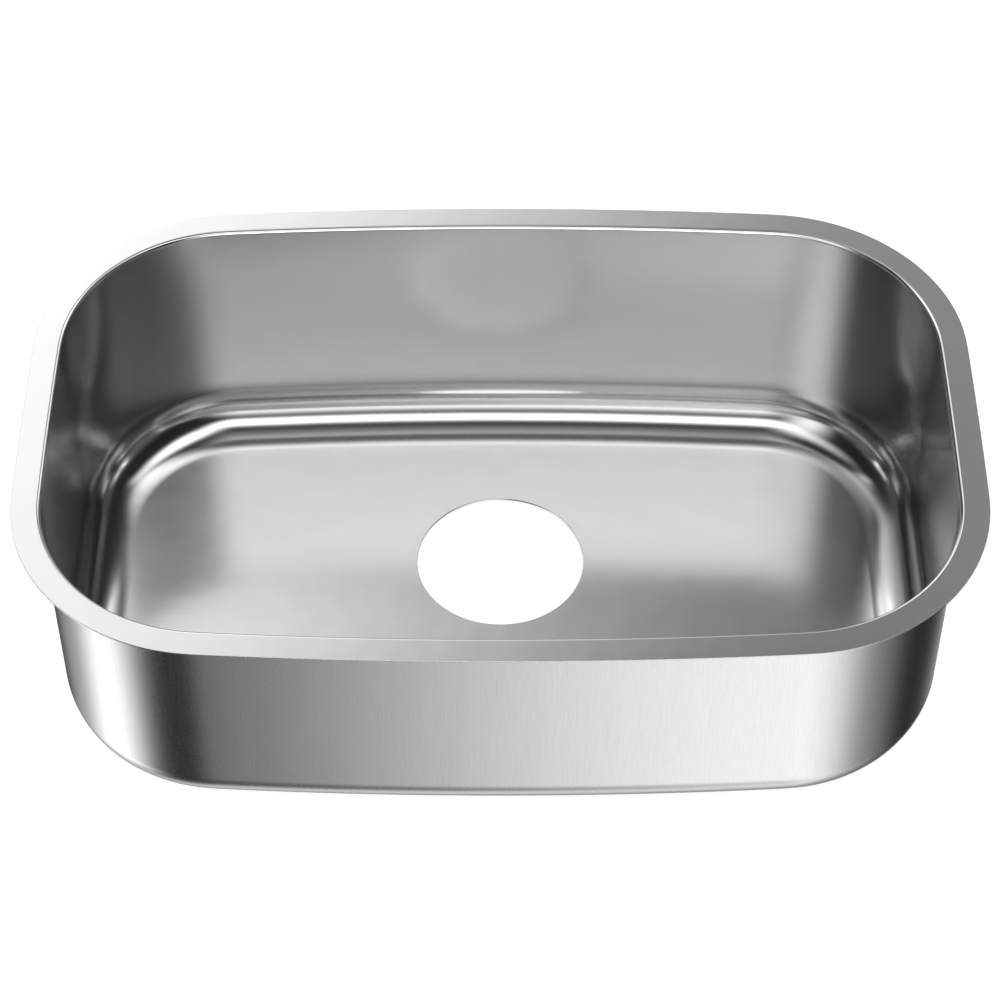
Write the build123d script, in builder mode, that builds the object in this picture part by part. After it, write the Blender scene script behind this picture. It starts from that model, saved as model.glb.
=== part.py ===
from build123d import *
import math
import os

# Undermount kitchen sink with one bowl
#
# The bowl, its walls and its flange are one sheet of stainless steel, drawn to depth
# in a press. Rubber pads are bonded under the floor, so that the thin steel doesn't
# ring when water runs into it.
#
# Millimetres, +Z up, +X along the sink and +Y to its rear. The origin lies on the
# surface that the sink stands on, under the middle of the flange.


# Plan of the flange. Each side is crowned: its middle stands further out than its ends
sink_length = 610.0
sink_width = 396.0
side_crown = 15.5
end_crown = 3.9
flange_corner_radius = 127.0
flange_reach = 18.4  # from the flange's outer edge to the inner face of the wall

# Drawn bowl
sheet = 1.2
bowl_depth = 179.8  # from the top of the flange to the top of the floor
wall_draft = 0.5  # degrees, the bowl narrows towards its floor
floor_bend_radius = 32.6  # inside the bowl, between wall and floor
flange_bend_radius = 1.4  # inside the bend, under the flange

# Waste hole, for a basket strainer of the 4 1/2 inch size
waste_diameter = 114.3
waste_setback = 37.0  # the hole lies this far behind the middle of the bowl

# Rubber sound pads under the floor
pad_thickness = 3.0
pad_edge_gap = 9.0  # from the end of the floor's bend to a pad
pad_waste_gap = 24.0  # from the waste hole to a pad, room for the strainer's nut
pad_spacing = 10.0  # from pad to pad
pad_corner_radius = 12.0

# Levels, from the surface that the sink stands on
floor_underside = pad_thickness
floor_top = floor_underside + sheet
flange_top = floor_top + bowl_depth
waste_radius = waste_diameter / 2

# From the flange's outer edge to the foot of the wall, and on to the flat of the floor
wall_foot_inset = flange_reach + bowl_depth * math.tan(math.radians(wall_draft))
floor_inset = wall_foot_inset + floor_bend_radius

# Each side is an arc of a large circle, whose centre lies on the far side of the middle
half_length = sink_length / 2
half_width = sink_width / 2
side_radius = (half_length**2 + side_crown**2) / (2 * side_crown)
end_radius = (half_width**2 + end_crown**2) / (2 * end_crown)
side_centre = side_radius - half_width
end_centre = end_radius - half_length


def plan(inset, level):
    """The flange's outline at a level, moved in by the same amount all round."""
    with BuildSketch(Plane.XY.offset(level)) as outline:
        with PolarLocations(side_centre, 1, start_angle=90):
            Circle(side_radius - inset)
        with PolarLocations(side_centre, 1, start_angle=-90):
            Circle(side_radius - inset, mode=Mode.INTERSECT)
        with PolarLocations(end_centre, 1, start_angle=0):
            Circle(end_radius - inset, mode=Mode.INTERSECT)
        with PolarLocations(end_centre, 1, start_angle=180):
            Circle(end_radius - inset, mode=Mode.INTERSECT)
        fillet(outline.vertices(), radius=flange_corner_radius - inset)
    return outline.sketch


# Bowl and flange: one sheet, whose section stays the same all the way round the rim
rim = plan(0, flange_top).face().outer_wire()
floor_plan = plan(floor_inset, floor_underside)
square_to_rim = Plane(origin=rim @ 0, x_dir=Vector(0, 0, 1).cross(rim % 0), z_dir=rim % 0)

with BuildPart() as bowl:
    # The section runs in along the flange, down the wall and round to the floor. Its
    # upper line is the face that shows, and the sheet's thickness lies behind it.
    with BuildSketch(square_to_rim):
        with BuildLine():
            FilletPolyline(
                (0, 0),
                (flange_reach, 0),
                (wall_foot_inset, -bowl_depth),
                (floor_inset, -bowl_depth),
                radius=(flange_bend_radius + sheet, floor_bend_radius),
            )
            offset(amount=sheet, side=Side.RIGHT)
        make_face()
    sweep(path=rim)

    # The floor closes the middle, and the waste hole is punched through it
    extrude(floor_plan, amount=sheet)
    with Locations((0, waste_setback, floor_top)):
        Hole(waste_radius)

bowl.part.label = "bowl"
os.makedirs("parts", exist_ok=True)
export_step(bowl.part, "parts/bowl.step")


# The sound pads are cut to the shape of the floor, a little smaller
pad_from_waste = waste_radius + pad_waste_gap
front_pad_length = 2 * (pad_from_waste - pad_spacing)

pad_field = plan(floor_inset + pad_edge_gap, 0)

with BuildPart() as right_sound_pad:
    with BuildSketch() as right_pad_plan:
        add(pad_field)
        with Locations((pad_from_waste, 0)):
            Rectangle(sink_length, sink_width, align=(Align.MIN, Align.CENTER), mode=Mode.INTERSECT)
        fillet(right_pad_plan.vertices().group_by(Axis.X)[0], radius=pad_corner_radius)
    extrude(amount=pad_thickness)

with BuildPart() as left_sound_pad:
    mirror(right_sound_pad.part, about=Plane.YZ)

# The front pad fills the floor between the other two, up to the waste hole
with BuildPart() as front_sound_pad:
    with BuildSketch() as front_pad_plan:
        add(pad_field)
        with Locations((0, waste_setback - pad_from_waste)):
            Rectangle(front_pad_length, sink_width, align=(Align.CENTER, Align.MAX), mode=Mode.INTERSECT)
        fillet(front_pad_plan.vertices(), radius=pad_corner_radius)
    extrude(amount=pad_thickness)

right_sound_pad.part.label = "right_sound_pad"
left_sound_pad.part.label = "left_sound_pad"
front_sound_pad.part.label = "front_sound_pad"
export_step(right_sound_pad.part, "parts/right_sound_pad.step")
export_step(left_sound_pad.part, "parts/left_sound_pad.step")
export_step(front_sound_pad.part, "parts/front_sound_pad.step")
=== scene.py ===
# %% [markdown]
# # Undermount kitchen sink
#
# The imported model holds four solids: the bowl, which is one pressing of stainless
# steel with its flange, and the three rubber pads under its floor. They are loaded
# first and stay where they are, because every size of the sink is settled there.
# This lesson gives them their finishes, and lights them as a photographer would.

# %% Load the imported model
import bpy
import math
from mathutils import Euler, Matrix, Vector


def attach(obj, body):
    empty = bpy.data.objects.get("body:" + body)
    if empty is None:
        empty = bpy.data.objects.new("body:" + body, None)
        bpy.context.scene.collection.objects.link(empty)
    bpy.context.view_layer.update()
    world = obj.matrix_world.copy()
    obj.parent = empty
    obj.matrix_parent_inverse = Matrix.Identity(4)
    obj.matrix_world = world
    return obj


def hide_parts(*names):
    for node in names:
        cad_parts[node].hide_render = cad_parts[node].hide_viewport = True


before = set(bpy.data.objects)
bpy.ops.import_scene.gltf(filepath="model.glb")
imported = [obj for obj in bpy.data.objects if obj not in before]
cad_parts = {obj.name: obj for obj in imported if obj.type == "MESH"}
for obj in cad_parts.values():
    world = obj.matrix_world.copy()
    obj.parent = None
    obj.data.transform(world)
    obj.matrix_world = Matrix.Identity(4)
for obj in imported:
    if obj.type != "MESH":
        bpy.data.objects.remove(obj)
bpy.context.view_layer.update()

scene = bpy.context.scene

# %% [markdown]
# ## Camera
#
# The photograph looks down at the front of the sink from 48 degrees, with a long
# lens, so that the ends of the bowl hardly draw together. The aim lies on the
# middle of the frame, level with the flange.

# %% Camera
VIEW_ELEVATION = math.radians(47.98)
VIEW_DISTANCE = 1.8824
AIM = Vector((-0.0002, -0.069, 0.184))
FOCAL_LENGTH, SENSOR_WIDTH = 109, 36  # in millimetres, as on a camera

lens = bpy.data.cameras.new("photo_camera")
lens.sensor_width = SENSOR_WIDTH
lens.lens = FOCAL_LENGTH
camera = bpy.data.objects.new("photo_camera", lens)
scene.collection.objects.link(camera)
backwards = Vector((0, -math.cos(VIEW_ELEVATION), math.sin(VIEW_ELEVATION)))
camera.location = AIM + VIEW_DISTANCE * backwards
camera.rotation_euler = (math.pi / 2 - VIEW_ELEVATION, 0, 0)
scene.camera = camera
print("the camera stands at", tuple(round(v, 3) for v in camera.location))

# %% [markdown]
# ## Helpers for node trees
#
# Materials and the light dome are node trees. One function adds a node, with its
# settings and its links. Colours are written as the hex values that a paint program
# shows, and another function turns them into the linear values that light needs.

# %% Helpers for node trees
def linear(hex_colour, alpha=1.0):
    """A colour as #RRGGBB, in the linear values that the shaders work with."""
    parts = [int(hex_colour[i:i + 2], 16) / 255 for i in (1, 3, 5)]
    return [c / 12.92 if c <= 0.04045 else ((c + 0.055) / 1.055) ** 2.4 for c in parts] + [alpha]


def add_node(tree, kind, settings=None, inputs=None):
    """Adds a node. An input that is an output socket is linked, any other is set."""
    node = tree.nodes.new(kind)
    for name, value in (settings or {}).items():
        setattr(node, name, value)
    for name, value in (inputs or {}).items():
        if isinstance(value, bpy.types.NodeSocket):
            tree.links.new(value, node.inputs[name])
        else:
            node.inputs[name].default_value = value
    return node


# %% [markdown]
# ## Light
#
# Polished steel has no colour of its own to show: what the eye sees on it is the
# room. A photographer therefore hangs white sheets round a sink and leaves dark gaps
# between them. Here the sheets are soft pools of light on a dome: each has its place,
# given by a direction and a height in degrees, its width and height, and its strength.
# They were found by trial, against the light and dark places that the photograph
# shows on the steel, and then rounded to 2 degrees and 0.05.

# %% Pools of light on the dome
# direction (0 is the sink's right, 90 its rear), height, half width, half height, strength
POOLS = {
    "behind": (98, 28, 0.25, 0.65, 1.8),
    "behind_high": (110, 58, 0.25, 0.95, 1.2),
    "right_high": (334, 62, 0.7, 0.25, 2.9),
    "front_high": (268, 54, 0.45, 0.25, 2.75),
    "left_low": (182, -54, 0.4, 0.3, 2.5),
    "front_low": (288, -52, 0.45, 0.35, 1.95),
    "front_level": (270, 8, 0.6, 0.6, 4),
    "right_rear": (44, 40, 0.4, 0.6, 2.3),
    "left_front": (232, 26, 0.35, 1.1, 1.5),
    "behind_low": (76, -16, 0.5, 2.5, 0.8),
    "below": (230, -88, 1.45, 0.25, 0.95),
    "right_low": (336, -66, 0.4, 0.55, 0.6),
    "left_rear_low": (116, -20, 0.65, 0.3, 3.95),
    "left_front_high": (216, 60, 0.6, 0.25, 0.9),
    "left_rear_high": (138, 44, 0.35, 0.3, 3.8),
    "behind_level": (116, 10, 0.25, 0.25, 1.8),
    "right_level": (0, -4, 1.3, 0.55, 0.5),
    "left_level": (180, -4, 1.3, 0.55, 0.5),
}
DOME_GLOW = 0.02
print(len(POOLS), "pools of light hang on the dome")

# %% [markdown]
# In the dome's node tree one Mapping node holds the place and the size of a pool,
# and a spherical gradient makes its edge soft. The pools are added up one by one.

# %% Node tree of the dome
world = bpy.data.worlds.new("studio_dome")
scene.world = world
scene.view_settings.view_transform = "Standard"
world.use_nodes = True
dome = world.node_tree
dome.nodes.clear()
direction = add_node(dome, "ShaderNodeTexCoord").outputs["Generated"]
total = DOME_GLOW
for name, (azimuth, height, half_width, half_height, strength) in POOLS.items():
    azimuth, height = math.radians(azimuth), math.radians(height)
    reach = math.cos(height)
    local = add_node(dome, "ShaderNodeMapping", {"vector_type": "TEXTURE", "label": name}, {
        "Vector": direction,
        "Location": (reach * math.cos(azimuth), reach * math.sin(azimuth), math.sin(height)),
        "Rotation": Euler((0, -height, azimuth)),
        "Scale": (1, half_width, half_height),
    })
    gradient = add_node(dome, "ShaderNodeTexGradient", {"gradient_type": "SPHERICAL"}, {
        "Vector": local.outputs[0],
    })
    pool = add_node(dome, "ShaderNodeMapRange", {"interpolation_type": "SMOOTHSTEP"}, {
        "Value": gradient.outputs["Fac"],
        "To Max": strength,
    })
    total = add_node(dome, "ShaderNodeMath", {"operation": "ADD"}, {
        0: total,
        1: pool.outputs[0],
    }).outputs[0]
background = add_node(dome, "ShaderNodeBackground", None, {
    "Color": linear("#FFFFFF"),
    "Strength": total,
})
add_node(dome, "ShaderNodeOutputWorld", None, {"Surface": background.outputs[0]})
print("the dome's tree has", len(dome.nodes), "nodes")

# %% [markdown]
# ## Floor
#
# The sink stands on a light table, a pale plate that glows from below, so that the
# floor stays white round the sink and through its waste hole. The plate is kept out
# of the steel's reflections, which then show the dome.

# %% Floor
TABLE_SIZE = 60  # metres, past the edge of every view
TABLE_GLOW = 0.75

bpy.ops.object.select_all(action="DESELECT")
bpy.ops.mesh.primitive_plane_add(size=TABLE_SIZE, location=(0, 0, 0))
floor = bpy.context.object
floor.name = "light_table"
floor.visible_glossy = False
table = bpy.data.materials.new("opal_acrylic")
table.use_nodes = True
glow = table.node_tree.nodes["Principled BSDF"]
glow.inputs["Base Color"].default_value = linear("#D0D0D0")
glow.inputs["Roughness"].default_value = 1
glow.inputs["Specular IOR Level"].default_value = 0
glow.inputs["Emission Color"].default_value = linear("#FFFFFF")
glow.inputs["Emission Strength"].default_value = TABLE_GLOW
floor.data.materials.append(table)
print("the floor is", floor.dimensions.x, "m wide")

# %% [markdown]
# ## Bowl
#
# A drawn sink is one sheet: a press pushes a flat blank down into a die, and the
# sheet flows in over the die's rounded edge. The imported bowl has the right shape, but
# its facets would show as kinks in the reflections. The same shape is drawn here more
# finely: the outline with a pair of compasses, and the section by stepping inwards
# and down from it, so that every contour runs parallel to the rim. The sheet gets its
# thickness last, and its cut edges lose their sharpness, as a deburring wheel does it.

# %% Sizes of the pressing
MM = 0.001
HALF_LENGTH, HALF_WIDTH = 305 * MM, 198 * MM
SIDE_CROWN, END_CROWN = 15.5 * MM, 3.9 * MM  # how far a side's middle stands out
CORNER_RADIUS = 127 * MM
SHEET = 1.2 * MM
FLANGE_TOP = 184 * MM
FLANGE_REACH = 18.4 * MM
BOWL_DEPTH = 179.8 * MM
WALL_DRAFT = math.radians(0.5)
RIM_BEND_RADIUS = 2.6 * MM
FLOOR_BEND_RADIUS = 32.6 * MM
WASTE_RADIUS, WASTE_SETBACK = 57.15 * MM, 37 * MM

side_radius = (HALF_LENGTH**2 + SIDE_CROWN**2) / (2 * SIDE_CROWN)
end_radius = (HALF_WIDTH**2 + END_CROWN**2) / (2 * END_CROWN)
side_centre = side_radius - HALF_WIDTH
end_centre = end_radius - HALF_LENGTH
print("radius of the sides", round(side_radius, 3), "and of the ends", round(end_radius, 3))

# %% Corners of the outline
# The centre of a corner lies one corner radius inside both large arcs. Each round
# brings it nearer to that place
ROUNDS = 20
corner_x, corner_y = HALF_LENGTH - CORNER_RADIUS, HALF_WIDTH - CORNER_RADIUS
for _ in range(ROUNDS):
    corner_y = math.sqrt((side_radius - CORNER_RADIUS)**2 - corner_x**2) - side_centre
    corner_x = math.sqrt((end_radius - CORNER_RADIUS)**2 - corner_y**2) - end_centre
side_angle = math.atan2(corner_x, corner_y + side_centre)
end_angle = math.atan2(corner_y, corner_x + end_centre)
corner_angle = math.pi / 2 - side_angle - end_angle
print("a corner turns through", round(math.degrees(corner_angle), 2), "degrees")


# %% Helpers for modelling
def new_piece(name, add_primitive, **settings):
    """Adds a primitive alone and names it. It is left in edit mode, all selected."""
    bpy.ops.object.select_all(action="DESELECT")
    add_primitive(**settings)
    piece = bpy.context.object
    piece.name = piece.data.name = name
    bpy.ops.object.mode_set(mode="EDIT")
    bpy.ops.mesh.select_all(action="SELECT")
    return piece


def settle(piece):
    """Leaves edit mode and moves the piece's place from its object into its mesh."""
    bpy.ops.object.mode_set(mode="OBJECT")
    bpy.ops.object.select_all(action="DESELECT")
    piece.select_set(True)
    bpy.context.view_layer.objects.active = piece
    bpy.ops.object.transform_apply(location=True, rotation=True, scale=True)


def add_modifier(piece, kind, **settings):
    """Adds a modifier with its settings and applies it."""
    modifier = piece.modifiers.new(kind.title(), kind)
    for name, value in settings.items():
        setattr(modifier, name, value)
    bpy.context.view_layer.objects.active = piece
    bpy.ops.object.modifier_apply(modifier=modifier.name)


# %% Outline of the flange, drawn with a pair of compasses
SIDE_STEPS, END_STEPS, CORNER_STEPS = 100, 36, 52  # each step is about 3.7 mm
PENCIL = 10 * MM  # a small plane, which is merged into one point

start_x = -side_radius * math.sin(side_angle)
start_y = side_radius * math.cos(side_angle) - side_centre
bowl = new_piece("bowl_pressing", bpy.ops.mesh.primitive_plane_add, size=PENCIL,
                 location=(start_x, start_y, FLANGE_TOP))
bpy.ops.mesh.merge(type="CENTER")


def compass(x, y, angle, steps):
    """Spins the pencil's point clockwise round a centre, which draws an arc."""
    bpy.ops.mesh.spin(steps=steps, angle=angle, center=(x, y, FLANGE_TOP), axis=(0, 0, 1))


compass(0, -side_centre, 2 * side_angle, SIDE_STEPS)
compass(corner_x, corner_y, corner_angle, CORNER_STEPS)
compass(-end_centre, 0, 2 * end_angle, END_STEPS)
compass(corner_x, -corner_y, corner_angle, CORNER_STEPS)
compass(0, side_centre, 2 * side_angle, SIDE_STEPS)
compass(-corner_x, -corner_y, corner_angle, CORNER_STEPS)
compass(end_centre, 0, 2 * end_angle, END_STEPS)
compass(-corner_x, corner_y, corner_angle, CORNER_STEPS)
bpy.ops.mesh.select_all(action="SELECT")
bpy.ops.mesh.remove_doubles(threshold=0.1 * MM)
bowl.update_from_editmode()
print("the outline has", len(bowl.data.vertices), "points")

# %% Blank for the press
# Sheet springs back a little, so a corner eases into the sides over about 15 mm
EASING, EASING_ROUNDS = 0.5, 4

bpy.ops.mesh.vertices_smooth(factor=EASING, repeat=EASING_ROUNDS)
bpy.ops.mesh.edge_face_add()
bpy.ops.mesh.normals_make_consistent(inside=False)
bowl.update_from_editmode()
if bowl.data.polygons[0].normal.z < 0:
    bpy.ops.mesh.flip_normals()
print("the blank has an area of", round(bowl.data.polygons[0].area, 4), "square metres")


# %% Section of the pressing, stepped inwards and down
def step(length, slope):
    """One step of the section: the face inside the last contour moves in and down."""
    bpy.ops.mesh.inset(thickness=length * math.cos(slope), depth=-length * math.sin(slope))


def bend(radius, slope, turn, steps):
    """An arc of the section, in equal straight steps."""
    part = turn / steps
    for k in range(steps):
        step(2 * radius * math.sin(abs(part) / 2), slope + (k + 0.5) * part)


RIM_BEND_STEPS, FLOOR_BEND_STEPS = 10, 28

steep = math.pi / 2 - WALL_DRAFT
bend_tangent = RIM_BEND_RADIUS * math.tan(steep / 2)
floor_tangent = FLOOR_BEND_RADIUS * math.tan(steep / 2)
wall_length = BOWL_DEPTH / math.cos(WALL_DRAFT) - bend_tangent - floor_tangent
step(FLANGE_REACH - bend_tangent, 0)
bend(RIM_BEND_RADIUS, 0, steep, RIM_BEND_STEPS)
step(wall_length / 2, steep)
step(wall_length / 2, steep)
bend(FLOOR_BEND_RADIUS, steep, -steep, FLOOR_BEND_STEPS)

settle(bowl)
floor_top = min(point.co.z for point in bowl.data.vertices)
print("the floor lies", round(floor_top / MM, 2), "mm up")

# %% Thickness of the sheet, punched waste hole and deburred edges
PUNCH_HEIGHT, PUNCH_SIDES = 20 * MM, 240
DEBURRING = 0.2 * MM
SHARP_EDGE = math.radians(60)

bpy.ops.object.shade_smooth()
add_modifier(bowl, "SOLIDIFY", thickness=SHEET, offset=-1, use_even_offset=True)
punch = new_piece("punch", bpy.ops.mesh.primitive_cylinder_add, vertices=PUNCH_SIDES,
                  radius=WASTE_RADIUS, depth=PUNCH_HEIGHT,
                  location=(0, WASTE_SETBACK, floor_top))
settle(punch)
add_modifier(bowl, "BOOLEAN", object=punch, operation="DIFFERENCE")
bpy.data.objects.remove(punch)
add_modifier(bowl, "BEVEL", width=DEBURRING, segments=2,
             limit_method="ANGLE", angle_limit=SHARP_EDGE)
add_modifier(bowl, "WEIGHTED_NORMAL", mode="FACE_AREA", weight=100)
triangles = sum(len(face.vertices) - 2 for face in bowl.data.polygons)
print("the bowl has", triangles, "triangles")
print("it measures", tuple(round(size / MM, 2) for size in bowl.dimensions), "mm")

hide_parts("bowl")
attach(bowl, "root")

# %% [markdown]
# ## Satin stainless steel
#
# The sheet is type 304 stainless steel, polished with a fine belt after drawing.
# The belt leaves lines too fine to see one by one, which blur the reflections to a
# satin sheen. The bends rubbed along the die as the sheet was drawn in, so they are
# burnished and mirror more sharply. The back of the sheet keeps its duller mill
# finish, and the draw leaves soft waves that run down the walls.

# %% Burnished bends
FACE_ROUGHNESS = 0.19
BEND_ROUGHNESS = 0.13  # in the middle of a bend, where the die has burnished the sheet

steel = bpy.data.materials.new("satin_stainless_steel")
steel.use_nodes = True
tree = steel.node_tree
metal = tree.nodes["Principled BSDF"]
metal.inputs["Metallic"].default_value = 1
place = add_node(tree, "ShaderNodeTexCoord").outputs["Object"]
normal = add_node(tree, "ShaderNodeNewGeometry").outputs["Normal"]
facing = add_node(tree, "ShaderNodeSeparateXYZ", None, {0: normal}).outputs["Z"]
flatness = add_node(tree, "ShaderNodeMath", {"operation": "ABSOLUTE"}, {0: facing}).outputs[0]
# With a slope s the flatness is cos s. The root of cos^2 s (1 - cos^2 s) is 0.5 in mid-bend
level_share = add_node(tree, "ShaderNodeMath", {"operation": "MULTIPLY"}, {
    0: flatness, 1: flatness}).outputs[0]
upright_share = add_node(tree, "ShaderNodeMath", {"operation": "SUBTRACT"}, {
    0: 1.0, 1: level_share}).outputs[0]
product = add_node(tree, "ShaderNodeMath", {"operation": "MULTIPLY"}, {
    0: level_share, 1: upright_share}).outputs[0]
bending = add_node(tree, "ShaderNodeMath", {"operation": "SQRT"}, {0: product}).outputs[0]
face = add_node(tree, "ShaderNodeMath", {"operation": "MULTIPLY_ADD"}, {
    0: bending, 1: 2 * (BEND_ROUGHNESS - FACE_ROUGHNESS), 2: FACE_ROUGHNESS}).outputs[0]
print("roughness", FACE_ROUGHNESS, "on the face and", BEND_ROUGHNESS, "in the bends")

# %% Duller back
# Seen from the sink's middle axis, 200 mm above each place, only the face shows
BACK_ROUGHNESS = 0.27
LOOKOUT = 200 * MM

outward = add_node(tree, "ShaderNodeMapping", None, {
    "Vector": place, "Location": (0, 0, -LOOKOUT), "Scale": (1, 1, 0)}).outputs[0]
away = add_node(tree, "ShaderNodeVectorMath", {"operation": "DOT_PRODUCT"}, {
    0: outward, 1: normal}).outputs["Value"]
back = add_node(tree, "ShaderNodeMath", {"operation": "GREATER_THAN"}, {
    0: away, 1: 0.0}).outputs[0]
finish = add_node(tree, "ShaderNodeMix", {"data_type": "FLOAT"}, {
    "Factor": back, 2: face, 3: BACK_ROUGHNESS}).outputs[0]
print("roughness", BACK_ROUGHNESS, "on the back")

# %% Lines of the belt
# The belt's lines are 0.1 mm wide. They are drawn 0.5 mm wide and 40 mm long to show
LINE_WIDTH, LINE_LENGTH, LINE_HEIGHT = 0.5 * MM, 40 * MM, 0.02 * MM
LINE_WEAR = 0.05  # share of the roughness that the lines add or take
NOISE_LOW, NOISE_HIGH = 0.3, 0.7  # most values of a noise texture lie between these

across_belt, along_belt = 1 / LINE_WIDTH, 1 / LINE_LENGTH
along = add_node(tree, "ShaderNodeMapping", None, {
    "Vector": place, "Scale": (along_belt, across_belt, across_belt)}).outputs[0]
down = add_node(tree, "ShaderNodeMapping", None, {
    "Vector": place, "Scale": (across_belt, across_belt, along_belt)}).outputs[0]
belt = add_node(tree, "ShaderNodeMix", {"data_type": "VECTOR"}, {
    "Factor": flatness, 4: down, 5: along}).outputs[1]
lines = add_node(tree, "ShaderNodeTexNoise", None, {
    "Vector": belt, "Scale": 1.0, "Detail": 2.0}).outputs["Fac"]
wear = add_node(tree, "ShaderNodeMapRange", None, {
    "Value": lines, "From Min": NOISE_LOW, "From Max": NOISE_HIGH,
    "To Min": 1 - LINE_WEAR, "To Max": 1 + LINE_WEAR}).outputs[0]
sheen = add_node(tree, "ShaderNodeMath", {"operation": "MULTIPLY"}, {
    0: finish, 1: wear}).outputs[0]
print("the belt's lines are", LINE_WIDTH / MM, "mm wide")

# %% Waves of the draw and haze
WAVES_ACROSS, WAVES_DOWN = 33, 3.3  # in a metre, so they are 30 mm apart and 300 mm long
WAVE_HEIGHT = 0.5 * MM
CLOUDS = 14.0  # of haze in a metre, each about 70 mm across

drawn = add_node(tree, "ShaderNodeMapping", None, {
    "Vector": place, "Scale": (WAVES_ACROSS, WAVES_ACROSS, WAVES_DOWN)}).outputs[0]
waves = add_node(tree, "ShaderNodeTexNoise", None, {
    "Vector": drawn, "Scale": 1.0, "Detail": 1.0}).outputs["Fac"]
haze = add_node(tree, "ShaderNodeTexNoise", None, {
    "Vector": place, "Scale": CLOUDS, "Detail": 3.0}).outputs["Fac"]
tone = add_node(tree, "ShaderNodeMix", {"data_type": "RGBA"}, {
    "Factor": haze, 6: linear("#D0D1D1"), 7: linear("#D4D4D3")}).outputs[2]
ripple = add_node(tree, "ShaderNodeBump", None, {
    "Height": waves, "Strength": 0.2, "Distance": WAVE_HEIGHT}).outputs[0]
relief = add_node(tree, "ShaderNodeBump", None, {
    "Height": lines, "Strength": 0.03, "Distance": LINE_HEIGHT, "Normal": ripple}).outputs[0]
tree.links.new(tone, metal.inputs["Base Color"])
tree.links.new(sheen, metal.inputs["Roughness"])
tree.links.new(relief, metal.inputs["Normal"])
bowl.data.materials.clear()
bowl.data.materials.append(steel)
print("the steel's tree has", len(tree.nodes), "nodes")

# %% [markdown]
# ## Sound pads
#
# A thin steel bowl rings like a bell when water runs into it, so rubber pads are
# stuck under its floor. They are cut from a sheet of butyl rubber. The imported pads
# have the right outline, so each is copied, joined up into whole faces, and given the
# soft edge that a cut through rubber has.

# %% Rubber sound pads
PAD_EDGE = 0.6 * MM


def soft_copy(node, name):
    """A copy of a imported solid, as one closed mesh with softly rounded edges."""
    pad = bpy.data.objects.new(name, node.data.copy())
    scene.collection.objects.link(pad)
    bpy.ops.object.select_all(action="DESELECT")
    pad.select_set(True)
    bpy.context.view_layer.objects.active = pad
    bpy.ops.mesh.customdata_custom_splitnormals_clear()
    bpy.ops.object.mode_set(mode="EDIT")
    bpy.ops.mesh.select_all(action="SELECT")
    bpy.ops.mesh.remove_doubles(threshold=0.01 * MM)
    bpy.ops.mesh.dissolve_limited(angle_limit=math.radians(0.1))
    bpy.ops.object.mode_set(mode="OBJECT")
    bpy.ops.object.shade_smooth()
    add_modifier(pad, "BEVEL", width=PAD_EDGE, segments=3,
                 limit_method="ANGLE", angle_limit=SHARP_EDGE)
    add_modifier(pad, "WEIGHTED_NORMAL", mode="FACE_AREA", weight=100)
    return pad


pads = []
for side in ("left", "right", "front"):
    pad = soft_copy(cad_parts[side + "_sound_pad"], side + "_rubber_pad")
    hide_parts(side + "_sound_pad")
    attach(pad, "root")
    pads.append(pad)
    print(pad.name, "measures", tuple(round(size / MM, 1) for size in pad.dimensions), "mm")

# %% Pebbled butyl rubber
# The press leaves pebbles 1.5 mm across, and talc from the mould dulls some places
PEBBLE, PEBBLE_HEIGHT = 1.5 * MM, 0.15 * MM
TALC_PATCH = 25 * MM
CLEAN_ROUGHNESS, TALC_ROUGHNESS = 0.62, 0.85

rubber = bpy.data.materials.new("pebbled_butyl_rubber")
rubber.use_nodes = True
tree = rubber.node_tree
surface = tree.nodes["Principled BSDF"]
surface.inputs["IOR"].default_value = 1.52
place = add_node(tree, "ShaderNodeTexCoord").outputs["Object"]
pebbles = add_node(tree, "ShaderNodeTexVoronoi", {"feature": "SMOOTH_F1"}, {
    "Vector": place, "Scale": 1 / PEBBLE, "Smoothness": 0.6}).outputs["Distance"]
talc = add_node(tree, "ShaderNodeTexNoise", None, {
    "Vector": place, "Scale": 1 / TALC_PATCH, "Detail": 4.0, "Roughness": 0.6}).outputs["Fac"]
colour = add_node(tree, "ShaderNodeMix", {"data_type": "RGBA"}, {
    "Factor": talc, 6: linear("#1E1E20"), 7: linear("#34343A")}).outputs[2]
dullness = add_node(tree, "ShaderNodeMapRange", None, {
    "Value": talc, "From Min": NOISE_LOW, "From Max": NOISE_HIGH,
    "To Min": CLEAN_ROUGHNESS, "To Max": TALC_ROUGHNESS}).outputs[0]
relief = add_node(tree, "ShaderNodeBump", None, {
    "Height": pebbles, "Strength": 0.6, "Distance": PEBBLE_HEIGHT}).outputs[0]
tree.links.new(colour, surface.inputs["Base Color"])
tree.links.new(dullness, surface.inputs["Roughness"])
tree.links.new(relief, surface.inputs["Normal"])
for pad in pads:
    pad.data.materials.clear()
    pad.data.materials.append(rubber)
print("the rubber's tree has", len(tree.nodes), "nodes")
